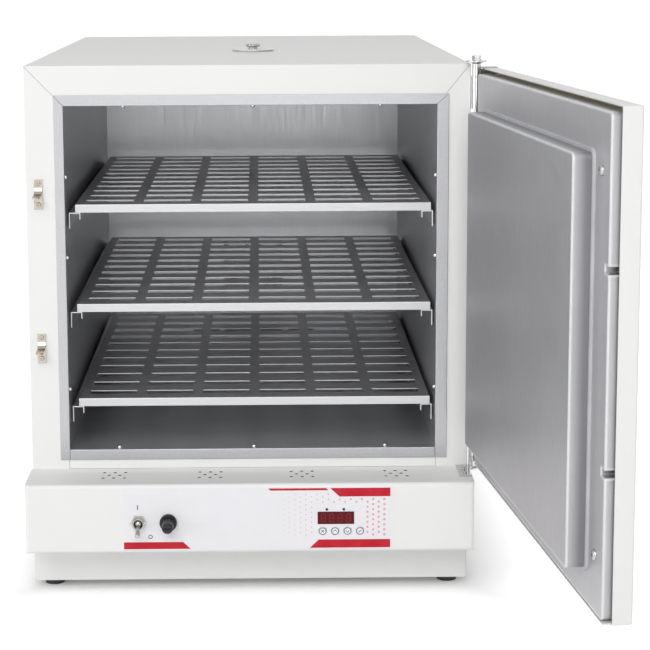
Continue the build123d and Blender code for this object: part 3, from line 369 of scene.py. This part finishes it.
# The chamber's walls are one steel in lighter and darker copies: the sides and ceiling darker as painted
# shade, the floor and back lighter as painted light.
side_sheet_painted_shade = mouth_sheet("chamber_side_sheet", (0.48, 0.485, 0.50), UPRIGHT)
back_sheet_painted_light = mouth_sheet("chamber_back_sheet", (0.74, 0.745, 0.76), UPRIGHT, metal=0.7)
ceiling_sheet_painted_shade = mouth_sheet("chamber_ceiling_sheet", (0.48, 0.485, 0.50), LEVEL)
floor_sheet_painted_light = mouth_sheet("chamber_floor_sheet", (0.66, 0.665, 0.68), LEVEL)
lining_sheet = door_pan("door_lining_sheet", LINING_FACE)
plug_sheet = door_pan("door_plug_sheet", PLUG_FACE)
rail_steel = rolled_sheet("rail_zinc", (0.62, 0.62, 0.63), (0.5, 0.5, 0.51), ALONG_RAIL, rough=0.34)
zinc_steel = rolled_sheet("zinc_plate", (0.6, 0.61, 0.62), (0.5, 0.51, 0.52), EVEN, rough=0.35)
satin_sheet = rolled_sheet(
    "satin_sheet", (0.80, 0.80, 0.80), (0.76, 0.76, 0.76), EVEN, rough=0.4, metal=0.5, edge=0.0005
)
fan_aluminium = rolled_sheet("fan_aluminium", (0.78, 0.78, 0.79), (0.7, 0.7, 0.71), CAST, rough=0.3)
chrome_steel = plated("chrome_plate", (0.58, 0.58, 0.58), rough=0.12)
nickel = plated("nickel_plate", (0.45, 0.41, 0.35), rough=0.22)
dull_nickel = plated("dull_nickel_plate", (0.46, 0.45, 0.43), rough=0.24)
black_rubber = moulded("foot_rubber", (0.035, 0.035, 0.036), rough=0.6, grain=500.0, depth=0.3)
seal_silicone = moulded("seal_silicone", (0.50, 0.50, 0.52), rough=0.45, grain=400.0, depth=0.2)
key_plastic = moulded("key_plastic", (0.86, 0.85, 0.88), rough=0.35, grain=900.0, depth=0.1)
black_plastic = moulded("black_plastic", (0.012, 0.012, 0.013), rough=0.34, gloss=0.35)
display_red = moulded(
    "display_tinted_window", (0.10, 0.003, 0.007), rough=0.15, grain=300.0, depth=0.02, gloss=0.15
)
lamp_red = moulded("lamp_red", (0.05, 0.004, 0.006), rough=0.15, grain=400.0, depth=0.02)
motor_paint = powder_coat("motor_enamel", (0.12, 0.13, 0.14), (0.1, 0.11, 0.12))
wool = mineral_wool("mineral_wool")
label_film = ink("label_film", (0.865, 0.86, 0.885), rough=0.3, uneven=0.012)
red_ink = ink("red_ink", (0.52, 0.006, 0.022))
pink_ink = ink("pink_ink", (0.78, 0.40, 0.44))
grey_ink = ink("grey_ink", (0.035, 0.035, 0.04))
digit_red = ink("digit_red", (0.24, 0.006, 0.014), rough=0.25)

# The first line whose words start a node's name gives its finish
FINISHES = (
    (("casing_", "deck_", "base_", "rear_", "door_shell"), white_paint),
    (("chamber_wool", "door_wool"), wool),
    (("chamber_left", "chamber_right"), side_sheet_painted_shade),
    (("chamber_back",), back_sheet_painted_light),
    (("chamber_floor",), floor_sheet_painted_light),
    (("chamber_",), ceiling_sheet_painted_shade),
    (("rail_",), rail_steel),
    (("door_lining",), lining_sheet),
    (("door_plug",), plug_sheet),
    (("door_seal",), seal_silicone),
    (("foot_",), black_rubber),
    (("catch_",), nickel),
    (("toggle_", "vent_knob"), dull_nickel),
    (("hinge_",), chrome_steel),
    (("vent_damper",), satin_sheet),
    (("vent_tube", "heater", "fan_duct"), zinc_steel),
    (("fan_wheel",), fan_aluminium),
    (("fan_motor",), motor_paint),
    (("key_",), key_plastic),
    (("label_plate",), label_film),
    (("display_window",), display_red),
    (("",), black_plastic),
)


def finish_of(node):
    if node == "control_box":
        return box_paint("box_paint", *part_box(node))
    if node.startswith("shelf_"):
        return shelf_steel(node + "_steel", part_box(node)[1].z)
    return next(material for starts, material in FINISHES if node.startswith(starts))


for node, piece in nodes.items():
    piece.data.materials.clear()
    piece.data.materials.append(finish_of(node))


# Modelling by hand: every master is made at the origin, facing +Z, and copied to its places

def start_piece():
    if bpy.context.object and bpy.context.object.mode != "OBJECT":
        bpy.ops.object.mode_set(mode="OBJECT")
    bpy.ops.object.select_all(action="DESELECT")


def select_rim(height):
    """Selects, in edit mode, just the edges that lie at a height."""
    mesh = bmesh.from_edit_mesh(bpy.context.object.data)
    bpy.ops.mesh.select_mode(type="EDGE")
    bpy.ops.mesh.select_all(action="DESELECT")
    for edge in mesh.edges:
        if all(abs(v.co.z - height) < 1e-7 for v in edge.verts):
            edge.select_set(True)
    bmesh.update_edit_mesh(bpy.context.object.data)


def end_piece(name, smooth=30.0):
    """Leaves edit mode with outward normals and returns the finished master."""
    bpy.ops.mesh.select_all(action="SELECT")
    bpy.ops.mesh.remove_doubles(threshold=1e-7)
    bpy.ops.mesh.normals_make_consistent(inside=False)
    bpy.ops.object.mode_set(mode="OBJECT")
    bpy.ops.object.shade_smooth_by_angle(angle=math.radians(smooth))
    master = bpy.context.object
    master.name = name
    return master


def domed_head(name, radius, height, dome, sides=20):
    """A low round head whose rim is bevelled into a dome."""
    start_piece()
    bpy.ops.mesh.primitive_cylinder_add(
        vertices=sides, radius=radius * MM, depth=height * MM, location=(0, 0, height * MM / 2)
    )
    bpy.ops.object.transform_apply(location=True, rotation=True, scale=True)
    bpy.ops.object.mode_set(mode="EDIT")
    select_rim(height * MM)
    bpy.ops.mesh.bevel(offset=dome * MM, segments=4, profile=0.5)
    return end_piece(name, 60)


def screw_head(name, radius, height, dome, slot_wide, slot_deep):
    """A domed head with two driver slots that cross."""
    head = domed_head(name, radius, height, dome)
    for turn in (0, 90):
        start_piece()
        bpy.ops.mesh.primitive_cube_add(
            size=1, location=(0, 0, height * MM), rotation=(0, 0, math.radians(turn))
        )
        cutter = bpy.context.object
        cutter.scale = (radius * 1.25 * MM, slot_wide * MM, 2 * slot_deep * MM)
        bpy.ops.object.transform_apply(location=True, rotation=True, scale=True)
        start_piece()
        head.select_set(True)
        bpy.context.view_layer.objects.active = head
        cut = head.modifiers.new("slot", "BOOLEAN")
        cut.operation = "DIFFERENCE"
        cut.object = cutter
        bpy.ops.object.modifier_apply(modifier="slot")
        bpy.data.objects.remove(cutter)
    return head


def flat_shape(name, corners, thick):
    """A thin plate with the given corners, grown from one filled circle with as many corners."""
    start_piece()
    bpy.ops.mesh.primitive_circle_add(vertices=len(corners), radius=MM, fill_type="NGON", location=(0, 0, 0))
    bpy.ops.object.mode_set(mode="EDIT")
    mesh = bmesh.from_edit_mesh(bpy.context.object.data)
    mesh.verts.ensure_lookup_table()
    for vertex, (x, y) in zip(mesh.verts, corners):
        vertex.co = (x * MM, y * MM, 0)
    bmesh.update_edit_mesh(bpy.context.object.data)
    bpy.ops.mesh.select_all(action="SELECT")
    bpy.ops.mesh.extrude_region_move(TRANSFORM_OT_translate={"value": (0, 0, thick * MM)})
    return end_piece(name)


def flat_ring(name, outer, inner, thick, sides=32):
    """A thin printed ring."""
    start_piece()
    bpy.ops.mesh.primitive_circle_add(
        vertices=sides, radius=outer * MM, fill_type="NGON", location=(0, 0, 0)
    )
    bpy.ops.object.mode_set(mode="EDIT")
    bpy.ops.mesh.select_all(action="SELECT")
    bpy.ops.mesh.inset(thickness=(outer - inner) * MM * math.cos(math.pi / sides), depth=0)
    bpy.ops.mesh.delete(type="FACE")
    bpy.ops.mesh.select_all(action="SELECT")
    bpy.ops.mesh.extrude_region_move(TRANSFORM_OT_translate={"value": (0, 0, thick * MM)})
    return end_piece(name)


def copied(master, placed):
    """A copy with its own mesh, moved by a matrix."""
    copy = master.copy()
    copy.data = master.data.copy()
    bpy.context.scene.collection.objects.link(copy)
    copy.data.transform(placed)
    return copy


def spun(degrees):
    return Matrix.Rotation(math.radians(degrees), 4, "Z")


def shifted(x, y):
    return Matrix.Translation((x * MM, y * MM, 0))


def facing(direction):
    return Vector(direction).to_track_quat("Z", "Y").to_matrix().to_4x4()


def joined(name, parts):
    start_piece()
    for part in parts:
        part.select_set(True)
    bpy.context.view_layer.objects.active = parts[0]
    bpy.ops.object.join()
    parts[0].name = name
    return parts[0]


def set_down(master, name, turned, at, body, material, slot):
    """A finished piece: a master's copy, turned and moved to its place, riding on a body."""
    piece = copied(master, Matrix.Translation(at) @ turned)
    piece.name = name
    piece.data.materials.clear()
    piece.data.materials.append(material)
    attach(piece, body)


def put_away(*masters):
    for master in masters:
        bpy.data.objects.remove(master)


CHROME = (chrome_steel, "chrome_steel")
NICKEL = (nickel, "nickel")
DULL_NICKEL = (dull_nickel, "nickel")
ZINC = (zinc_steel, "zinc_steel")
GREY_PRINT = (grey_ink, "label_film")

# Rivets round the chamber's mouth
RIVET_Y = 7
CHAMBER_LEFT, CHAMBER_RIGHT, CHAMBER_LOW, CHAMBER_HIGH = -198.0, 204.0, DECK + 22.0, DECK + 401.0
RIVETS_CEILING = (-134.2, 5.8, 143.4)
RIVETS_FLOOR = (-143.9, 4.6, 149.4)
RIVETS_SIDE = (323.6, 235.2, 88.6)
rivet = domed_head("rivet", radius=2.7, height=3.0, dome=2.4, sides=16)
for i, x in enumerate(RIVETS_CEILING):
    spot = place(x, RIVET_Y, CHAMBER_HIGH)
    set_down(rivet, f"rivet_ceiling_{i + 1}", facing((0, 0, -1)), spot, "oven", *CHROME)
for i, x in enumerate(RIVETS_FLOOR):
    spot = place(x, RIVET_Y, CHAMBER_LOW)
    set_down(rivet, f"rivet_floor_{i + 1}", facing((0, 0, 1)), spot, "oven", *CHROME)
for i, z in enumerate(RIVETS_SIDE):
    for side, x, inward in (("left", CHAMBER_LEFT, 1), ("right", CHAMBER_RIGHT, -1)):
        spot = place(x, RIVET_Y, DECK + z)
        set_down(rivet, f"rivet_{side}_{i + 1}", facing((inward, 0, 0)), spot, "oven", *CHROME)

# Screws of the catches
CATCH_X = -226.4
CATCH_FOOT = (("upper", 289.5), ("lower", 119.9))
CATCH_SCREWS = (("top", 28.2), ("bottom", 5.4))
catch_screw = screw_head("catch_screw", radius=2.7, height=1.5, dome=1.1, slot_wide=0.6, slot_deep=0.7)
for level, foot in CATCH_FOOT:
    for end, up in CATCH_SCREWS:
        spot = place(CATCH_X, -1.0, DECK + foot + up)
        set_down(catch_screw, f"catch_{level}_screw_{end}", FACING_FRONT, spot, "oven", *NICKEL)

# Screws of the door's lining
LINING_SCREWS = ((-209.0, 385.0), (-209.0, 60.0), (217.0, 385.0), (217.0, 60.0))
FACING_CHAMBER = facing(door_direction(0, 1))
lining_screw = screw_head("lining_screw", radius=4.7, height=2.8, dome=2.3, slot_wide=0.8, slot_deep=0.9)
for i, (x, z) in enumerate(LINING_SCREWS):
    spot = place_on_door(x, LINING_FACE, DECK + z)
    set_down(lining_screw, f"door_lining_screw_{i + 1}", FACING_CHAMBER, spot, "door", *DULL_NICKEL)

# Screws of the hinges: the lower plate lies on the deck and the upper one stands on the casing's side
LOW_HINGE = (234.0, DECK + 1.6)
TOP_HINGE = (241.5, 22.0)
hinge_screw = screw_head("hinge_screw", radius=2.4, height=1.3, dome=0.9, slot_wide=0.6, slot_deep=0.6)
for i, y in enumerate((-31.0, -17.0)):
    spot = place(LOW_HINGE[0], y, LOW_HINGE[1])
    set_down(hinge_screw, f"hinge_low_screw_{i + 1}", facing((0, 0, 1)), spot, "oven", *DULL_NICKEL)
for i, z in enumerate((403.0, 424.0)):
    spot = place(*TOP_HINGE, DECK + z)
    set_down(hinge_screw, f"hinge_top_screw_{i + 1}", facing((1, 0, 0)), spot, "oven", *DULL_NICKEL)

# Screws of the rear cover, four down each side
REAR_Y = 677.0
REAR_X = 233.0
REAR_LOWEST, REAR_STEP = 40.0, 168.0
rear_screw = screw_head("rear_screw", radius=3.4, height=1.9, dome=1.5, slot_wide=0.8, slot_deep=0.9)
for side, x in (("left", -REAR_X), ("right", REAR_X)):
    for i in range(4):
        spot = place(x, REAR_Y, REAR_LOWEST + i * REAR_STEP)
        set_down(rear_screw, f"rear_screw_{side}_{i + 1}", facing((0, 1, 0)), spot, "oven", *ZINC)
put_away(rivet, catch_screw, lining_screw, hinge_screw, rear_screw)

# Keys: a printed ring and a plain sign on each
KEY_FRONT = LABEL_Y - 0.8
KEY_X, KEY_STEP = 77.7, 13.4
KEY_Z = DECK - 52.5
KEY_PRINT = 0.08
BAR = ((-1.8, -0.36), (1.8, -0.36), (1.8, 0.36), (-1.8, 0.36))
ARROW = ((-1.8, -0.9), (0, 0.9), (1.8, -0.9), (1.8, -0.1), (0, 1.7), (-1.8, -0.1))
TICK = ((-1.8, 0.1), (-0.5, -1.4), (1.9, 1.1), (1.5, 1.5), (-0.5, -0.6), (-1.4, 0.5))
key_ring = flat_ring("key_ring", outer=4.0, inner=3.3, thick=KEY_PRINT)
bar = flat_shape("bar", BAR, KEY_PRINT)
signs = {
    "cancel": joined("cross_sign", [copied(bar, spun(45)), copied(bar, spun(-45))]),
    "up": flat_shape("up_sign", ARROW, KEY_PRINT),
    "down": flat_shape("down_sign", [(-x, -y) for x, y in ARROW], KEY_PRINT),
    "set": flat_shape("tick_sign", TICK, KEY_PRINT),
}
for i, (key, sign) in enumerate(signs.items()):
    spot = place(KEY_X + KEY_STEP * i, KEY_FRONT, KEY_Z)
    set_down(key_ring, f"key_{key}_ring", FACING_FRONT, spot, "press_" + key, *GREY_PRINT)
    set_down(sign, f"key_{key}_sign", FACING_FRONT, spot, "press_" + key, *GREY_PRINT)
put_away(key_ring, bar, *signs.values())

# Display: four figures of seven segments each, unlit, and two signal lamps over the window
WINDOW_Y = LABEL_Y - 0.4
FIGURE_X, FIGURE_STEP, FIGURE_Z = 78.5, 9.0, DECK - 38.0
LAMP_X, LAMP_Z = (82.3, 100.5), DECK - 28.6
SEGMENT = ((-2.0, 0), (-1.55, 0.45), (1.55, 0.45), (2.0, 0), (1.55, -0.45), (-1.55, -0.45))
LYING = [(0, 4.3), (0, 0), (0, -4.3)]
STANDING = [(x, y) for x in (-2.2, 2.2) for y in (-2.15, 2.15)]
stroke = flat_shape("stroke", SEGMENT, 0.05)
strokes = [copied(stroke, shifted(*at)) for at in LYING]
strokes += [copied(stroke, shifted(*at) @ spun(90)) for at in STANDING]
figure = joined("figure", strokes)
for i in range(4):
    spot = place(FIGURE_X + FIGURE_STEP * i, WINDOW_Y, FIGURE_Z)
    set_down(figure, f"display_figure_{i + 1}", FACING_FRONT, spot, "oven", digit_red, "display_red")
lamp = domed_head("lamp", radius=1.5, height=0.9, dome=0.8, sides=16)
for i, x in enumerate(LAMP_X):
    spot = place(x, LABEL_Y, LAMP_Z)
    set_down(lamp, f"signal_lamp_{i + 1}", FACING_FRONT, spot, "oven", lamp_red, "display_red")
put_away(stroke, figure, lamp)

# Switch marks: a bar over the lever for on, and a ring below it for off
THIN = 0.06
on_mark = flat_shape("on_mark", ((-0.5, -2.4), (0.5, -2.4), (0.5, 2.4), (-0.5, 2.4)), THIN)
off_mark = flat_ring("off_mark", outer=2.3, inner=1.5, thick=THIN)
set_down(on_mark, "switch_mark_on", FACING_FRONT, place(-120.5, LABEL_Y, DECK - 25.0), "oven", *GREY_PRINT)
set_down(off_mark, "switch_mark_off", FACING_FRONT, place(-107.0, LABEL_Y, DECK - 57.5), "oven", *GREY_PRINT)
put_away(on_mark, off_mark)

# Label print: slanted red bars, measured across from the casing's middle and up from the deck
PRINTED_BARS = {
    "label_bar_low_left": ((-135.6, -71.2), (-64.0, -71.2), (-72.0, -63.5), (-135.6, -63.5)),
    "label_bar_low_right": ((64.0, -71.2), (150.4, -71.2), (150.4, -62.0), (73.5, -62.0)),
    "label_bar_top_right": ((96.0, -14.5), (150.4, -14.5), (150.4, -5.0), (86.0, -5.0)),
    "label_line_top": ((22.0, -7.4), (84.0, -7.4), (81.6, -5.0), (19.5, -5.0)),
}
on_label = place(0, LABEL_Y, DECK)
for name, corners in PRINTED_BARS.items():
    shape = flat_shape(name + "_master", corners, THIN)
    set_down(shape, name, FACING_FRONT, on_label, "oven", red_ink, "label_film")
    put_away(shape)

# Label print: a field of pale dots, every other column set lower
DOT_LEFT, DOT_TOP = 36.0, -12.0
DOT_STEP_X, DOT_STEP_Y = 6.0, 5.6
DOT_COLUMNS, DOT_ROWS = 20, 9


def clear_of_print(x, y):
    """Whether a dot's middle is off the window, the keys, the bars and the label's edge."""
    at_window = 66.0 < x < 124.0 and -60.0 < y < -22.0
    at_top_bar = x > 84.0 and y > -17.5
    return not (at_window or at_top_bar or y < -59.0 or x > 148.5)


def dot_radius(x):
    """Dots grow from left to right."""
    return 0.35 + 1.15 * (x - 30.0) / 120.0


dot = flat_shape("dot", [(math.cos(a * math.pi / 6), math.sin(a * math.pi / 6)) for a in range(12)], THIN)
field = []
for column in range(DOT_COLUMNS):
    for row in range(DOT_ROWS):
        x = DOT_LEFT + column * DOT_STEP_X
        y = DOT_TOP - row * DOT_STEP_Y - (DOT_STEP_Y / 2 if column % 2 else 0.0)
        if clear_of_print(x, y):
            size = dot_radius(x)
            field.append(copied(dot, shifted(x, y) @ Matrix.Diagonal((size, size, 1, 1))))
dot_field = joined("dot_field", field)
set_down(dot_field, "label_dots", FACING_FRONT, on_label, "oven", pink_ink, "label_film")
put_away(dot, dot_field)

# Stage: a pale floor that the camera and bright metal see lit up, with its glow weaker near the base as a
# painted shadow
FLOOR_WIDE = 60.0
GLOW_FROM, GLOW_TO = -0.01, 0.11
GLOW_IN_PAINTED_SHADOW, GLOW_FAR = 0.10, 0.72
bpy.ops.object.select_all(action="DESELECT")
bpy.ops.mesh.primitive_plane_add(size=FLOOR_WIDE, location=(0, 0, 0))
floor = bpy.context.object
floor.name = "studio_floor"
floor_material, tree, shader, where = new_material("studio_floor")
tree.nodes.remove(shader)
base_low, base_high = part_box("base_floor")
away = vector_worked(tree, "SUBTRACT", where, (base_low + base_high) / 2)[0]
away = vector_worked(tree, "ABSOLUTE", away)[0]
away = vector_worked(tree, "SUBTRACT", away, (base_high - base_low) / 2)[0]
parts = split(tree, away)
from_base = worked(tree, "MAXIMUM", parts["X"], parts["Y"])
rays = tree.nodes.new("ShaderNodeLightPath").outputs
seen = worked(tree, "MAXIMUM", rays["Is Camera Ray"], rays["Is Glossy Ray"])
# Painted shadow: the glow drops close to the base's footprint.
lift = worked(tree, "MULTIPLY", seen, spread(tree, from_base, GLOW_FROM, GLOW_TO, GLOW_IN_PAINTED_SHADOW, GLOW_FAR))
glow = tree.nodes.new("ShaderNodeEmission")
tree.links.new(lift, glow.inputs["Strength"])
matt = tree.nodes.new("ShaderNodeBsdfDiffuse")
matt.inputs["Color"].default_value = (0.96, 0.96, 0.96, 1)
both = tree.nodes.new("ShaderNodeAddShader")
tree.links.new(matt.outputs[0], both.inputs[0])
tree.links.new(glow.outputs[0], both.inputs[1])
tree.links.new(both.outputs[0], tree.nodes["Material Output"].inputs["Surface"])
floor.data.materials.append(floor_material)

# World: white where it is seen, and dimmer as a light
WORLD_LIGHT, WORLD_SEEN = 0.40, 1.0
world = bpy.data.worlds.new("studio")
bpy.context.scene.world = world
world.use_nodes = True
sky = world.node_tree
rays = sky.nodes.new("ShaderNodeLightPath").outputs
seen = worked(sky, "MAXIMUM", rays["Is Camera Ray"], rays["Is Glossy Ray"])
seen = worked(sky, "MAXIMUM", seen, rays["Is Transmission Ray"])
background = sky.nodes["Background"]
background.inputs["Color"].default_value = (1, 1, 1, 1)
sky.links.new(spread(sky, seen, 0.0, 1.0, WORLD_LIGHT, WORLD_SEEN), background.inputs["Strength"])


def softbox(name, at, aim, wide, tall, watts, mirrored=True):
    """A soft lamp; one that isn't mirrored doesn't show in bright metal."""
    light = bpy.data.lights.new(name, "AREA")
    light.shape = "RECTANGLE"
    light.size, light.size_y = wide, tall
    light.energy = watts
    stand = bpy.data.objects.new(name, light)
    bpy.context.scene.collection.objects.link(stand)
    stand.location = at
    stand.visible_glossy = mirrored
    stand.rotation_euler = (Vector(aim) - Vector(at)).to_track_quat("-Z", "Y").to_euler()


softbox("softbox_front", (-0.8, -3.2, 2.6), aim=(0.0, 0.0, 0.3), wide=3.0, tall=2.0, watts=68.0)
softbox("softbox_left", (-2.6, -1.3, 0.6), aim=(0.25, -0.2, 0.35), wide=1.4, tall=1.0, watts=12.0)
softbox("softbox_low", (0.3, -3.6, 0.5), aim=(0.0, 0.4, 0.35), wide=1.6, tall=0.6, watts=6.0)
softbox("fill_right", (3.1, 0.9, 0.5), aim=(0.25, 0.1, 0.3), wide=1.6, tall=1.2, watts=11.0, mirrored=False)
softbox("fill_rear", (-0.7, 3.6, 0.5), aim=(0.0, 0.6, 0.3), wide=1.6, tall=1.2, watts=12.0, mirrored=False)

# Camera, from a fit of the casing's corners in a picture of 650 by 650
PICTURE, SENSOR = 650.0, 36.0
FOCAL_PIXELS, CENTRE_X, CENTRE_Y = 1735.92, 275.0, 190.0
PITCH, YAW, ROLL = 0.1337, -0.0089, -0.0052
NEAREST, FARTHEST = 0.05, 60.0
STANDPOINT = (12.53, -1859.2, 559.07 + DECK)
camera_data = bpy.data.cameras.new("camera")
camera_data.sensor_width = SENSOR
camera_data.lens = FOCAL_PIXELS * SENSOR / PICTURE
camera_data.shift_x = (PICTURE / 2 - CENTRE_X) / PICTURE
camera_data.shift_y = (CENTRE_Y - PICTURE / 2) / PICTURE
camera_data.clip_start, camera_data.clip_end = NEAREST, FARTHEST
camera = bpy.data.objects.new("camera", camera_data)
bpy.context.scene.collection.objects.link(camera)
forward = Vector((-math.sin(YAW), math.cos(YAW), 0.0))
right = Vector((math.cos(YAW), math.sin(YAW), 0.0))
look = math.cos(PITCH) * forward - math.sin(PITCH) * Vector((0, 0, 1))
up = math.sin(PITCH) * forward + math.cos(PITCH) * Vector((0, 0, 1))
rolled_right = math.cos(ROLL) * right + math.sin(ROLL) * up
rolled_up = -math.sin(ROLL) * right + math.cos(ROLL) * up
turn = Matrix((rolled_right, rolled_up, -look)).transposed().to_4x4()
camera.matrix_world = Matrix.Translation(place(*STANDPOINT)) @ turn
bpy.context.scene.camera = camera
bpy.context.scene.view_settings.view_transform = "Standard"
